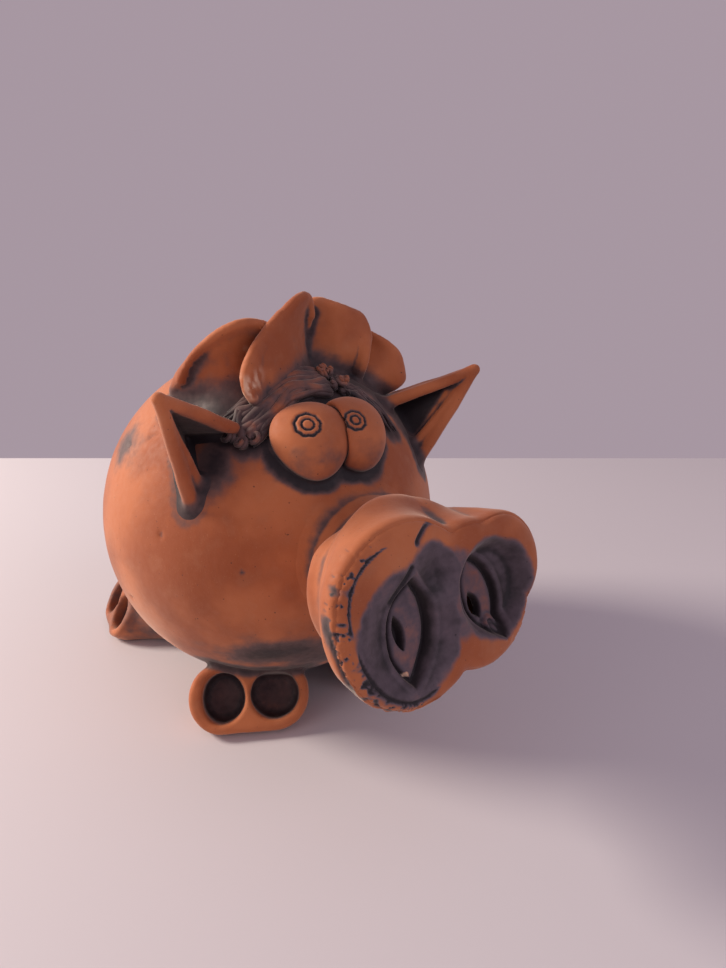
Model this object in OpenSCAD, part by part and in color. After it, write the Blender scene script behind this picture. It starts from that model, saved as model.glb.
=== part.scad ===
// Hand-built terracotta pig money box: a thrown ball with luted-on clay parts
// and a rubber bung in the belly. +Z up, the pig looks along -Y, origin on the
// table under the middle of the bounding box.

/* [Body] */
// Outer radius of the thrown ball
body_r = 58; // [56:0.5:60]
// Wall thickness of the thrown ball
wall = 5.5; // [5:0.5:7]
// Height of the ball's centre above the table
body_z = 61; // [60.5:0.5:62]
// How far the ball's centre sits behind the origin
body_y = 14.2; // [13.5:0.1:15]
// Height of the flat trimmed on the underside
belly_flat_z = 7; // [6:0.5:8]

/* [Coin slot] */
// Width of the coin slot
slot_w = 5.5; // [5:0.5:7]
// Length of the coin slot, along the back
slot_len = 38; // [30:1:42]
// Distance of the slot's middle behind the ball's centre
slot_y = 22; // [18:1:26]

/* [Belly bung] */
// Radius of the round belly hole
belly_hole_r = 16; // [14:0.5:17]
// Radial gap between the bung and the hole
bung_gap = 0.05; // [0.02:0.01:0.1]
// Radius of the bung's flange
flange_r = 19; // [18:0.5:20]
// Thickness of the bung's flange
flange_t = 2.4; // [2:0.2:3]
// Height of the bung's plug above the flange
plug_h = 9; // [8:0.5:12]

/* [Snout] */
// Half width of the snout at its neck
neck_a = 18; // [17:0.5:20]
// Half height of the snout at its neck
neck_b = 18; // [17:0.5:20]
// Radius of the rim's big lobe, on the pig's right
right_lobe_r = 24.5; // [23:0.5:26]
// Radius of the rim's smaller lobe, on the pig's left
left_lobe_r = 20.5; // [19:0.5:22]
// Radius of the upper corner of the left lobe
corner_lobe_r = 15.5; // [13:0.5:17]
// Wall thickness of the trumpet
horn_wall = 4.5; // [4:0.5:6]
// Backward lean of the snout's face, degrees
face_lean = 16; // [10:1:20]
// Distance from the ball's centre to the middle of the snout's face
face_reach = 97; // [94:0.5:99]
// Height of the middle of the snout's face
face_z = 66; // [64:0.5:68]
// Half distance between the nostrils
nostril_x = 14; // [13:0.5:15]
// Radius of the ball that the nostril dishes are pressed with
dish_r = 14; // [13:0.5:15]
// Depth of the nostril dishes
dish_depth = 6; // [5:0.5:6.5]

/* [Eyes] */
// Radius of a flattened eyeball
eye_r = 12.3; // [11:0.1:13]
// Radius of the left eyeball, which is a little smaller
left_eye_r = 11.4; // [10.5:0.1:12.5]
// Half thickness of a flattened eyeball
eye_t = 8; // [6:0.5:9]
// Half the angle between the two eyes, degrees
eye_az = 9; // [8.5:0.5:11]
// How far the pair of eyes is turned to the pig's right, degrees
eye_turn = 5; // [0:0.5:8]
// Elevation of the eyes, degrees
eye_el = 40; // [36:1:42]

/* [Ears] */
// How far the ear tips spread from the middle
ear_tip_x = 56; // [52:0.5:57]
// Distance of the ear tips in front of the ball's centre
ear_tip_y = 45; // [42:1:48]
// Height of the right ear's tip
right_ear_tip_z = 118; // [112:1:120]
// Height of the left ear's tip
left_ear_tip_z = 113; // [110:1:120]
// Radius of the rolled ear rims
ear_rim_r = 2.4; // [2:0.1:3]

/* [Frill and hair] */
// Thickness of the frill's clay sheet
frill_t = 4.2; // [3.5:0.1:5]
// How far the frill's edge leans forward over its foot
frill_lean = 3; // [0:0.5:5]
// How much the frill's edge fans out sideways, as a share of its distance from the middle
frill_fan = 0.1; // [0:0.01:0.15]
// Thickness of a lock of hair
hair_t = 4; // [3:0.5:5]

/* [Feet] */
// Outer radius of one toe of a hoof
toe_r = 11.5; // [10:0.5:12.5]
// Radius of the hole poked in a toe
toe_hole_r = 7.2; // [6:0.1:7.5]
// Depth of the hole poked in a toe
toe_hole_depth = 9; // [6:0.5:9]
// Distance between the two toes of a hoof
toe_gap = 16.6; // [16:0.2:18]
// Upward tilt of the hoof mouths, degrees
hoof_tilt = 33; // [25:1:38]

/* [Tail] */
// Radius of the tail's clay coil at its root
tail_r = 3.8; // [3:0.1:4.5]
// Radius of the tail's curl
curl_r = 7; // [6:0.5:8]

/* [Hidden] */
$fn = 96;
eps = 0.01;
clay = [0.75, 0.50, 0.38];
dark_clay = [0.27, 0.21, 0.22];
centre = [0, body_y, body_z];
inner_r = body_r - wall;

// A point on a sphere of radius r about the ball's centre; azimuth 0 is straight
// ahead, positive towards the pig's left.
function on_ball(az, el, r = body_r) =
    centre + r * [cos(el) * sin(az), -cos(el) * cos(az), sin(el)];
function lerp(a, b, t) = a + (b - a) * t;
function unit(v) = v / norm(v);
function smooth(t) = t * t * (3 - 2 * t);
// Value at x of a table of [x, value] pairs, with straight stretches between.
function table(x, t, i = 0) =
    i >= len(t) - 2 || x <= t[i + 1][0]
    ? lerp(t[i][1], t[i + 1][1], (x - t[i][0]) / (t[i + 1][0] - t[i][0]))
    : table(x, t, i + 1);
// An ellipse of n points about c, in the plane of the vectors u and v.
function ring(c, u, v, n) = [for (i = [0 : n - 1]) c + u * cos(360 * i / n) + v * sin(360 * i / n)];

function mean(ps, i = 0) = i >= len(ps) ? ps[0] * 0 : ps[i] / len(ps) + mean(ps, i + 1);

// Closed solid through a list of rings that all have the same number of points.
// The ends are closed by fans, or joined to each other when looped is true.
module loft(rings, looped = false) {
    n = len(rings[0]);
    m = len(rings);
    last = looped ? m - 1 : m - 2;
    sides = [for (i = [0 : last]) for (j = [0 : n - 1])
        let (k = (j + 1) % n, a = i * n, b = ((i + 1) % m) * n)
        each [[a + j, b + j, a + k], [a + k, b + j, b + k]]];
    caps = [for (j = [0 : n - 1])
        let (k = (j + 1) % n, end = (m - 1) * n)
        each [[n * m, j, k], [n * m + 1, end + k, end + j]]];
    points = concat([for (r = rings) each r], looped ? [] : [mean(rings[0]), mean(rings[m - 1])]);
    polyhedron(points, looped ? sides : concat(sides, caps), convexity = 6);
}

// Cuts the ball out of a luted part, so that the two meet face to face.
module off_ball() {
    difference() {
        children();
        translate(centre) sphere(r = body_r);
    }
}

module body_shell() {
    color(clay)
    difference() {
        translate(centre) sphere(r = body_r);
        translate(centre) sphere(r = inner_r);
        // trimmed flat and hole of the belly
        translate([0, body_y, belly_flat_z - 20]) cylinder(r = body_r, h = 20);
        translate([0, body_y, -eps]) cylinder(r = belly_hole_r, h = body_z / 2);
        // coin slot with round ends
        translate([0, body_y + slot_y, body_z])
            linear_extrude(2 * body_r)
                for (s = [-1, 1]) half_slot(s);
    }
}

// One half of the slot's outline: a straight run with a round end.
module half_slot(side) {
    run = slot_len / 2 - slot_w / 2;
    translate([-slot_w / 2, side > 0 ? -eps : -run]) square([slot_w, run + eps]);
    translate([0, side * run]) circle(d = slot_w);
}

module belly_bung() {
    plug_r = belly_hole_r - bung_gap;
    color("dimgray")
    translate([0, body_y, belly_flat_z - flange_t])
    rotate_extrude() polygon([
        [0, 1.2], [9, 1.2], [10, 0], [flange_r - 0.8, 0], [flange_r, 0.8], [flange_r, flange_t],
        [plug_r, flange_t], [plug_r, flange_t + plug_h - 1.5], [plug_r - 1.5, flange_t + plug_h],
        [plug_r - 3.5, flange_t + plug_h], [plug_r - 3.5, flange_t + 1.2], [0, flange_t + 1.2]
    ]);
}

// The rim runs round three overlapping round lobes, each [sideways, up, radius]
// from the middle of the face.
rim_lobes = [[-12.5, 1.5, right_lobe_r], [10.5, -2, left_lobe_r], [21.5, 6.5, corner_lobe_r]];
// How far out a ray from the middle of the face at angle a leaves a lobe.
function lobe_reach(a, lobe) =
    let (along = lobe[0] * cos(a) + lobe[1] * sin(a), off = lobe[0] * sin(a) - lobe[1] * cos(a))
    abs(off) < lobe[2] ? along + sqrt(lobe[2] * lobe[2] - off * off) : 0;
function rim_radius(a) = max([for (lobe = rim_lobes) lobe_reach(a, lobe)]);
// Stations along the snout: distance in front of the ball's centre, how much of
// the rim's outline shows in the section, section size and centre height.
snout_rows = [
    [46, 0, 1.25, 64], [56, 0, 1.05, 64], [62, 0, 1, 64.5], [68, 0.1, 1.02, 65], [74, 0.35, 1, 65.5],
    [80, 0.65, 0.99, 66], [86, 0.85, 0.99, 66], [91, 0.95, 1, 66], [95, 1, 1, 66.5]
];
snout_x = -2;
function snout_row(d, k) = table(d, [for (r = snout_rows) [r[0], r[k]]]);
function snout_ring(d, inset, n = 60) =
    let (ramp = smooth(min(1, max(0, (d - 60) / 32))), lean = face_lean * ramp, w = snout_row(d, 1))
    [for (i = [0 : n - 1]) let (
        a = 360 * i / n,
        neck = [neck_a * cos(a), neck_b * sin(a)],
        rim = rim_radius(a) * [cos(a), sin(a)],
        p = lerp(neck, rim, w) * snout_row(d, 2),
        q = p * (1 - inset / norm(p))
    ) [snout_x * w + q[0], body_y - d + q[1] * sin(lean), snout_row(d, 3) + q[1] * cos(lean)]];

module snout_horn() {
    stations = [46, 52, 56, 60, 64, 68, 72, 76, 80, 84, 88, 92, face_reach - 0.5];
    outer = [for (d = stations) snout_ring(d, 0)];
    inner = [for (i = [len(stations) - 1 : -1 : 0]) snout_ring(stations[i], horn_wall)];
    color(clay) off_ball() loft(concat(outer, inner), looped = true);
}

// The face is an oval plate in the mouth of the trumpet, with two dished
// nostrils, each pierced by a narrow slit.
module snout_face() {
    plate_t = 9;
    fit_gap = 0.02;
    color(dark_clay)
    difference() {
        loft([for (d = [face_reach - plate_t - 0.5, face_reach - plate_t / 2, face_reach - 0.5])
            snout_ring(d, horn_wall + fit_gap)]);
        for (s = [-1, 1])
            translate([snout_x + s * nostril_x, body_y - face_reach, face_z - 1])
            rotate([90 + face_lean, 0, 0]) {
                dish();
                linear_extrude(40, center = true) slit_outline();
            }
    }
}

// The ball that presses a nostril dish, from its lowest point up to its middle.
module dish() {
    steps = 7;
    translate([0, 0, dish_r - dish_depth])
    rotate_extrude(convexity = 2) polygon(concat([[0, 0]],
        [for (i = [0 : steps]) let (a = 90 * i / steps) dish_r * [cos(a), -sin(a)]]));
}

module slit_outline() {
    intersection() {
        translate([4.6, 0]) circle(r = 6);
        translate([-4.6, 0]) circle(r = 6);
    }
}

module eye(side) {
    az = side * eye_az - eye_turn;
    color(clay)
    off_ball()
    intersection() {
        translate(on_ball(az, eye_el, body_r + 1.5))
        rotate([0, 0, az])
        rotate([90 - eye_el, 0, 0])
        difference() {
            rotate_extrude() polygon([for (i = [0 : 16]) let (a = -90 + 180 * i / 16)
                [(side < 0 ? eye_r : left_eye_r) * cos(a), eye_t * sin(a)]]);
            for (r = [1.7, 3.7])
                translate([0, 0, eye_t]) rotate_extrude() translate([r, 0]) circle(r = 0.6, $fn = 24);
        }
        translate([0, body_y, 0]) rotate([0, 0, -eye_turn])
            translate([side > 0 ? 0 : -100, -150, 0]) cube([100, 150, 200]);
    }
}

// A triangle of clay folded round a pocket: two rims run from the skull to the
// tip. Each corner on the skull is an [azimuth, elevation] pair.
module ear(tip, low_at, high_at, back_at) {
    low = on_ball(low_at[0], low_at[1], body_r - 1);
    high = on_ball(high_at[0], high_at[1], body_r - 1);
    back = on_ball(back_at[0], back_at[1], body_r - 1);
    middle = (low + high) / 2;
    forward = [0, -7, 1.5];
    color(clay)
    off_ball()
    difference() {
        hull() for (p = [tip, low, high, back]) translate(p) sphere(r = ear_rim_r, $fn = 24);
        hull() {
            for (p = [low, high]) {
                translate(lerp(p, middle, 0.22) + forward) sphere(r = 1.6, $fn = 20);
                translate(lerp(p, middle, 0.3) - forward / 2) sphere(r = 1.6, $fn = 20);
            }
            translate(lerp(tip, middle, 0.24) + forward) sphere(r = 1, $fn = 20);
            translate(lerp(tip, middle, 0.34)) sphere(r = 1, $fn = 20);
            translate(lerp(back, middle, 0.3)) sphere(r = 1.6, $fn = 20);
        }
    }
}

module right_ear() ear([-ear_tip_x, body_y - ear_tip_y, right_ear_tip_z], [-55, 22], [-41, 46], [-68, 43]);
module left_ear() ear([ear_tip_x, body_y - ear_tip_y, left_ear_tip_z], [45, 22], [47, 45], [66, 43]);

// The frill is a strip of clay that stands on the crown like the brim of a
// bonnet. It is notched where lobes meet: each notch is [sideways, forward,
// height of the edge over the ball's centre], and the lobe after it bulges
// forward and rises by the last two.
frill_notches = [
    [-34, 8, 55, 7, 7], [-14, 23, 69, 2, 3], [6, 17, 75, 2, 0], [24, 16, 69, 3, 0], [33, 20, 53, 0, 0]
];
// How far behind the ball's centre the point lies that the sheet's thickness aims at.
frill_pivot = 20;
// Sideways place, forward place and edge height of the frill, s lobes along it.
function frill_at(s) =
    let (i = min(len(frill_notches) - 2, floor(s)), t = s - i, swell = sin(180 * t),
         a = frill_notches[i], b = frill_notches[i + 1])
    [lerp(a[0], b[0], t), lerp(a[1], b[1], t) + a[3] * swell, lerp(a[2], b[2], t) + a[4] * swell];

module bonnet_frill() {
    steps = 40;
    lobes = len(frill_notches) - 1;
    color(clay)
    off_ball() loft([for (i = [0 : steps]) let (
        r = frill_at(i * lobes / steps),
        back = unit([-r[0], r[1] + frill_pivot, 0]) * frill_t,
        foot = [r[0], body_y - r[1], body_z + sqrt(body_r * body_r - r[0] * r[0] - r[1] * r[1])],
        lean = [frill_fan * r[0], -frill_lean, 0],
        top = [foot[0], foot[1], body_z + r[2]] + lean,
        root = foot - [0, 0, 4]
    ) [
        root, top, top + back * 0.5 + [0, 0, 0.8], top + back * 0.9, root + back
    ]]);
}

// The middle of a lock of hair at t along its sweep from one azimuth and
// elevation to another.
function lock_at(from, to, t) =
    on_ball(lerp(from[0], to[0], t), lerp(from[1], to[1], t) + 3 * sin(180 * t), body_r + 0.5);

// A flat lock of hair pressed on the ball, widest in the middle.
module lock(from, to, width, steps = 10, n = 10) {
    color(dark_clay)
    off_ball()
    loft([for (i = [0 : steps]) let (
        t = i / steps,
        p = lock_at(from, to, t),
        up = unit(p - centre),
        across = unit(cross(unit(lock_at(from, to, t + 0.01) - p), up)),
        w = width * (0.55 + 0.45 * sin(180 * t))
    ) ring(p, across * w / 2, up * hair_t, n)]);
}

module right_fringe() lock([-4, 60.5], [-36, 48], 11);
module left_fringe() lock([21, 52], [28, 38], 8);

module forelock_knot() {
    color(dark_clay)
    off_ball()
    translate(on_ball(12, 61, body_r + 1.5))
    rotate([90 - 61, 0, 12])
        rotate_extrude() polygon([for (i = [0 : 12])
            let (a = -90 + 180 * i / 12) [7 * cos(a), 4.6 * sin(a)]]);
}

// A cloven hoof: two short clay tubes side by side, drawn in to an ankle under
// the belly and squared off on the table. Heading 0 points its mouth along -Y.
module hoof(at, heading, ankle, size = 1) {
    color(clay)
    intersection() {
        off_ball()
        difference() {
            hull() {
                toes(at, heading, size) cylinder(r = toe_r, h = 12, $fn = 48);
                translate([ankle[0], body_y + ankle[1], ankle_r + 2]) sphere(r = ankle_r, $fn = 32);
            }
            toes(at, heading, size, toe_hole_depth) cylinder(r = toe_hole_r, h = 20);
        }
        translate([-200, -200, 0]) cube(400);
    }
}

// Puts a copy of its child behind the mouth of each of a hoof's two toes.
module toes(at, heading, size, back = 12) {
    translate([at[0], body_y + at[1], toe_r * size + 1])
        rotate([0, 0, heading])
        rotate([90 - hoof_tilt, 0, 0])
        scale(size)
        for (s = [-1, 1]) translate([s * toe_gap / 2, 0, -back]) children();
}

// Where the mouths and ankles of the left hooves are, [sideways, back].
front_at = [30, -33];
front_ankle = [20, -18];
front_heading = 30;
rear_at = [42, 58];
rear_ankle = [23, 31];
rear_heading = 104;
rear_size = 0.86;
ankle_r = 9.5;

module front_hoof(side) hoof([side * front_at[0], front_at[1]], side * front_heading,
    [side * front_ankle[0], front_ankle[1]]);
module rear_hoof(side) hoof([side * rear_at[0], rear_at[1]], side * rear_heading,
    [side * rear_ankle[0], rear_ankle[1]], rear_size);

module curly_tail() {
    turns = 1.35;
    steps = 40;
    start = on_ball(180, 6, body_r + 1);
    color(clay)
    off_ball()
    loft([for (i = [0 : steps]) let (
        t = i / steps,
        a = 360 * turns * t,
        r = tail_r * (1 - 0.45 * t),
        c = start + [curl_r * sin(a), 1 + 5 * t, curl_r * (1 - cos(a))],
        radial = [sin(a), 0, -cos(a)]
    ) ring(c, radial * r, [0, r, 0], 12)]);
}

body_shell();
belly_bung();
snout_horn();
snout_face();
eye(-1);  // right_eye
eye(1);  // left_eye
right_ear();
left_ear();
right_fringe();
left_fringe();
forelock_knot();
bonnet_frill();
front_hoof(-1);  // front_right_hoof
front_hoof(1);  // front_left_hoof
rear_hoof(-1);  // rear_right_hoof
rear_hoof(1);  // rear_left_hoof
curly_tail();
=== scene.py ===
# Looks of the hand-built terracotta pig money box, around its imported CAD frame.
# Lengths in the modelling functions are millimetres in the part's frame; a piece
# is scaled to metres when its mesh is made.
import itertools
import math

import bpy
import numpy as np
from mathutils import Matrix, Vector
from mathutils.kdtree import KDTree


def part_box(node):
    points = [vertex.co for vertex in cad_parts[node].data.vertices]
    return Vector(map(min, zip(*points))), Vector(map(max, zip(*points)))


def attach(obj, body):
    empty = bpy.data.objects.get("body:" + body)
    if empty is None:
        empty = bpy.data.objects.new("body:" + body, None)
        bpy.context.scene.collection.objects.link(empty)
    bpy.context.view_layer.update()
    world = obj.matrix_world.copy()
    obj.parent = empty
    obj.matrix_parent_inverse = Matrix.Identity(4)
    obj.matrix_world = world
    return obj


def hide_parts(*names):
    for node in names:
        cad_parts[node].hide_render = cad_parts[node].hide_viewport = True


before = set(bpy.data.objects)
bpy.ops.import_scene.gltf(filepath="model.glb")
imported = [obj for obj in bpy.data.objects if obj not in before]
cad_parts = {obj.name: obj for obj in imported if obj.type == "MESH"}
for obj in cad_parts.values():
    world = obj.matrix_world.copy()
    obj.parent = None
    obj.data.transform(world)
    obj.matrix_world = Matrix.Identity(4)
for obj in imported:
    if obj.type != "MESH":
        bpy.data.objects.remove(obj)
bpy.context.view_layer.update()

MM = 0.001


def node_box(name):
    """Lowest and highest corners of a CAD node, in millimetres."""
    lo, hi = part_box(name)
    return np.array(lo) / MM, np.array(hi) / MM


# ---------------- the ball
ball_lo, ball_hi = node_box("body_shell")
BALL_R = (ball_hi[0] - ball_lo[0]) / 2
WALL = 5.5
CENTRE = np.array([(ball_lo[0] + ball_hi[0]) / 2, (ball_lo[1] + ball_hi[1]) / 2, ball_hi[2] - BALL_R])
BELLY_Z = ball_lo[2]
FINE = 1.0     # coarser meshes while trying things
ROOT_DEPTH = 1.7                      # a luted part's root reaches this far under the ball's skin


def direction(az, el):
    """Unit vector at an azimuth (0 straight ahead, positive to the pig's left) and elevation."""
    a, e = np.radians(az), np.radians(el)
    return np.stack([np.cos(e) * np.sin(a), -np.cos(e) * np.cos(a), np.sin(e) + 0 * a], -1)


def on_ball(az, el, height=0.0):
    """Points over the ball's skin."""
    return CENTRE + (BALL_R + np.asarray(height, float))[..., None] * direction(az, el)


# ---------------- numbers
def length(v):
    """Length of each vector."""
    return np.sqrt((v * v).sum(-1))


def unit(v):
    """Each vector at length 1."""
    return v / np.maximum(length(v), 1e-9)[..., None]


def lerp(a, b, t):
    return a + (b - a) * t


def step01(x, lo, hi):
    """Smooth step from 0 at lo to 1 at hi."""
    t = np.clip((x - lo) / (hi - lo), 0, 1)
    return t * t * (3 - 2 * t)


def between(x, lo, rise, fall, hi):
    """1 from rise to fall, fading to 0 at lo and at hi."""
    return step01(x, lo, rise) * (1 - step01(x, fall, hi))


def hump(x, width):
    """A hump that is 1 where x is 0 and fades out over the width."""
    return np.exp(-(x / width) ** 2)


def smin(a, b, k):
    """Smaller of two fields, with a fillet of size k where they meet."""
    h = np.clip(0.5 + 0.5 * (b - a) / k, 0, 1)
    return b + (a - b) * h - k * h * (1 - h)


def smax(a, b, k):
    return -smin(-a, -b, k)


def spline(points, x):
    """Smooth curve through points at the parameters x, which count the points from 0."""
    p = np.asarray(points, float)
    x = np.asarray(x, float)
    i = np.clip(np.floor(x).astype(int), 0, len(p) - 2)
    t = (x - i)[..., None]
    a, b, c, d = p[np.maximum(i - 1, 0)], p[i], p[i + 1], p[np.minimum(i + 2, len(p) - 1)]
    square, cube = 2 * a - 5 * b + 4 * c - d, 3 * b - a - 3 * c + d
    return 0.5 * (2 * b + (c - a) * t + square * t ** 2 + cube * t ** 3)


def hash01(i, seed):
    """A number from 0 to 1 for each row of whole numbers."""
    u = i.astype(np.int64).astype(np.uint32)
    h = u[:, 0] * np.uint32(374761393) + u[:, 1] * np.uint32(668265263) + u[:, 2] * np.uint32(2246822519)
    h = h + np.uint32((seed * 3266489917) % 2 ** 32)
    h = (h ^ (h >> np.uint32(13))) * np.uint32(1274126177)
    h = (h ^ (h >> np.uint32(15))) * np.uint32(2654435761)
    return (h ^ (h >> np.uint32(16))).astype(float) / 2 ** 32


def noise(p, size, seed=0):
    """Smooth noise from -1 to 1 with bumps of that size."""
    q = p / size + 1000.0
    i = np.floor(q)
    t = q - i
    t = t * t * (3 - 2 * t)
    total = np.zeros(len(p))
    for corner in itertools.product((0, 1), repeat=3):
        c = np.array(corner)
        weight = np.where(c == 1, t, 1 - t).prod(-1)
        total += weight * hash01(i + c, seed)
    return 2 * total - 1


def fbm(p, size, octaves=3, seed=0):
    total = sum(noise(p, size / 2 ** k, seed + k) / 2 ** k for k in range(octaves))
    return total / (2 - 2 ** (1 - octaves))


# ---------------- fields
# A field is negative inside the clay and about the distance to its skin outside.
def ball_field(p):
    return length(p - CENTRE) - BALL_R


def skin_field(p):
    """The ball with the slight lumps that throwing leaves."""
    q = p - CENTRE
    lumps = 0.22 * np.sin(q[:, 0] / 17 + 1) * np.sin(q[:, 1] / 21) * np.cos(q[:, 2] / 15)
    return length(q) - BALL_R - lumps


def capsule(p, a, b, ra, rb):
    """A round bar from a to b that tapers from radius ra to rb."""
    ab = b - a
    t = np.clip(((p - a) @ ab) / (ab @ ab), 0, 1)
    return length(p - a - t[:, None] * ab) - (ra + (rb - ra) * t)


def triangle(p, a, b, c):
    """Distance to a flat triangle."""
    n = np.cross(b - a, c - a)
    edges = ((a, b), (b, c), (c, a))
    over = sum(np.sign((p - u) @ np.cross(v - u, n)) for u, v in edges) < -2.5
    over |= sum(np.sign((p - u) @ np.cross(v - u, n)) for u, v in edges) > 2.5
    rim = np.minimum.reduce([capsule(p, u, v, 0, 0) for u, v in edges])
    return np.where(over, np.abs((p - a) @ n) / length(n), rim)


def luted(part, fillet, smear=1.5):
    """A part's field, joined to the ball by a fillet whose foot is smeared out thin over the skin."""
    def field(p):
        own = part(p)
        ball = skin_field(p)
        under = lerp(-0.06, 0.6, step01(own, 0.6 * fillet, fillet + smear))
        filleted = smin(own, ball + under, fillet)
        return np.maximum(np.maximum(filleted, -(ball + ROOT_DEPTH)), own - fillet - smear - 1.0)
    return field


def cloud_tree(points):
    tree = KDTree(len(points))
    for i, co in enumerate(points.tolist()):
        tree.insert(co, i)
    tree.balance()
    return tree


def cloud_distance(tree, p):
    """Distance from each point to the nearest of a tree's points, and which one it is."""
    found = [tree.find(co) for co in p.tolist()]
    return np.array([f[2] for f in found]), np.array([f[1] for f in found])


# ---------------- meshes
def surface(field, lo, hi, step, settle=4):
    """Quads over the skin of a field inside a box, one about each step."""
    axes = [np.arange(a, b + step, step) for a, b in zip(lo, hi)]
    shape = tuple(len(a) for a in axes)
    grid = np.stack(np.meshgrid(*axes, indexing="ij"), -1).reshape(-1, 3)
    chunk = 400000
    values = np.concatenate([field(grid[i:i + chunk]) for i in range(0, len(grid), chunk)]).reshape(shape)
    del grid
    quads, points = [], []
    cell_shape = tuple(n - 1 for n in shape)
    for axis in range(3):
        u, v = (axis + 1) % 3, (axis + 2) % 3
        near = np.take(values, range(shape[axis] - 1), axis)
        far = np.take(values, range(1, shape[axis]), axis)
        at = np.argwhere((near < 0) != (far < 0))
        at = at[(at[:, u] > 0) & (at[:, v] > 0) & (at[:, u] < shape[u] - 1) & (at[:, v] < shape[v] - 1)]
        near_at, far_at = near[tuple(at.T)], far[tuple(at.T)]
        point = at.astype(float)
        point[:, axis] += near_at / (near_at - far_at)
        cells = []
        for du, dv in ((0, 0), (1, 0), (1, 1), (0, 1)):
            cell = at.copy()
            cell[:, u] -= du
            cell[:, v] -= dv
            cells.append(np.ravel_multi_index(cell.T, cell_shape))
        cells = np.stack(cells, 1)
        cells[near_at >= 0] = cells[near_at >= 0][:, ::-1]
        quads.append(cells)
        points.append(point)
    quads = np.concatenate(quads)
    points = np.repeat(np.concatenate(points), 4, axis=0)
    _, index = np.unique(quads.ravel(), return_inverse=True)
    index = index.ravel()
    count = np.bincount(index)
    verts = np.stack([np.bincount(index, weights=points[:, k]) / count for k in range(3)], 1)
    verts = verts * step + np.array([a[0] for a in axes])
    faces = index.reshape(-1, 4)
    for _ in range(settle):
        value = field(verts)
        slope = gradient(field, verts, step * 0.2)
        move = (value / np.maximum((slope * slope).sum(-1), 0.2))[:, None] * slope
        far = np.maximum(length(move) / (0.5 * step), 1)
        verts = verts - move / far[:, None]
    return verts, faces


def gradient(field, p, h):
    slope = np.empty_like(p)
    for k in range(3):
        offset = np.zeros(3)
        offset[k] = h
        slope[:, k] = (field(p + offset) - field(p - offset)) / (2 * h)
    return slope


def tube(points, radii, sides=8, flat=1.0, up=None):
    """A round or flattened bar along a path, closed to a point at each end."""
    points, radii = np.asarray(points, float), np.asarray(radii, float)
    n = len(points)
    along = unit(np.gradient(points, axis=0))
    up = unit(points - CENTRE) if up is None else up
    side = unit(np.cross(along, up))
    up = np.cross(side, along)
    angle = np.arange(sides) * 2 * np.pi / sides
    rings = (points[:, None] + radii[:, None, None] * (
        side[:, None] * np.cos(angle)[None, :, None] + flat * up[:, None] * np.sin(angle)[None, :, None]))
    verts = np.concatenate([rings.reshape(-1, 3), points[:1] - along[:1] * radii[0],
                            points[-1:] + along[-1:] * radii[-1]])
    i, j = np.meshgrid(np.arange(n - 1), np.arange(sides), indexing="ij")
    k = (j + 1) % sides
    below, above = i * sides, (i + 1) * sides
    quads = np.stack([below + j, below + k, above + k, above + j], -1).reshape(-1, 4)
    j = np.arange(sides)
    k = (j + 1) % sides
    first = np.stack([np.full(sides, n * sides), k, j], 1)
    last = np.stack([np.full(sides, n * sides + 1), (n - 1) * sides + j, (n - 1) * sides + k], 1)
    return verts, quads.tolist() + first.tolist() + last.tolist()


def joined(parts):
    """One mesh from several."""
    verts, faces, base = [], [], 0
    for v, f in parts:
        verts.append(v)
        faces += [[i + base for i in face] for face in f]
        base += len(v)
    return np.concatenate(verts), faces


def neighbour_mean(verts, quads, rounds, share=1.0):
    """The vertices, moved by a share of the way to the mean of their neighbours, some rounds."""
    a, b = quads.ravel(), np.roll(quads, 1, axis=1).ravel()
    ends, others = np.concatenate([a, b]), np.concatenate([b, a])
    count = np.bincount(ends, minlength=len(verts))[:, None]
    for _ in range(rounds):
        total = [np.bincount(ends, weights=verts[others, k], minlength=len(verts)) for k in range(3)]
        mean = np.stack(total, 1) / count
        verts = mean if share == 1 else lerp(verts, mean, share)
    return verts


def hollows(verts, quads, spread):
    """How far each vertex of a quad mesh lies below its surroundings, in millimetres."""
    smooth = neighbour_mean(verts, quads, spread)
    return ((smooth - verts) * vertex_normals(verts, quads)).sum(-1)


def vertex_normals(verts, quads):
    corner = verts[quads]
    face = np.cross(corner[:, 2] - corner[:, 0], corner[:, 3] - corner[:, 1])
    at = quads.ravel()
    total = [np.bincount(at, weights=np.repeat(face[:, k], 4), minlength=len(verts)) for k in range(3)]
    return unit(np.stack(total, 1))


def pushed(verts, quads, height):
    """The vertices, moved out along their normals."""
    return verts + height[:, None] * vertex_normals(verts, quads)


def sculpted(name, field, margin, step, settle=4):
    """Mesh of a field, inside a CAD node's box and a margin round it."""
    lo, hi = node_box(name)
    return surface(field, lo - margin, hi + margin, step * FINE, settle)


PIECES = {}     # name: (verts, faces) of every clay piece, in the order they are shaped


def make_object(name, verts, faces, material, body="pig", slot="clay", replaces=None, marks=None):
    mesh = bpy.data.meshes.new(name)
    faces = faces.tolist() if isinstance(faces, np.ndarray) else faces
    mesh.from_pydata((np.asarray(verts) * MM).tolist(), [], faces)
    mesh.polygons.foreach_set("use_smooth", [True] * len(mesh.polygons))
    for mark, values in (marks or {}).items():
        layer = mesh.attributes.new(mark, "FLOAT", "POINT")
        layer.data.foreach_set("value", np.clip(values, 0, 1).astype(np.float32))
    mesh.materials.append(material)
    mesh.update()
    piece = bpy.data.objects.new(name, mesh)
    bpy.context.scene.collection.objects.link(piece)
    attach(piece, body)
    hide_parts(replaces or name)
    return piece


# ---------------- body
SLOT_W = 5.5
SLOT_LEN = 38.0
SLOT_Y = 22.0
BELLY_HOLE_R = 16.0


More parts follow.
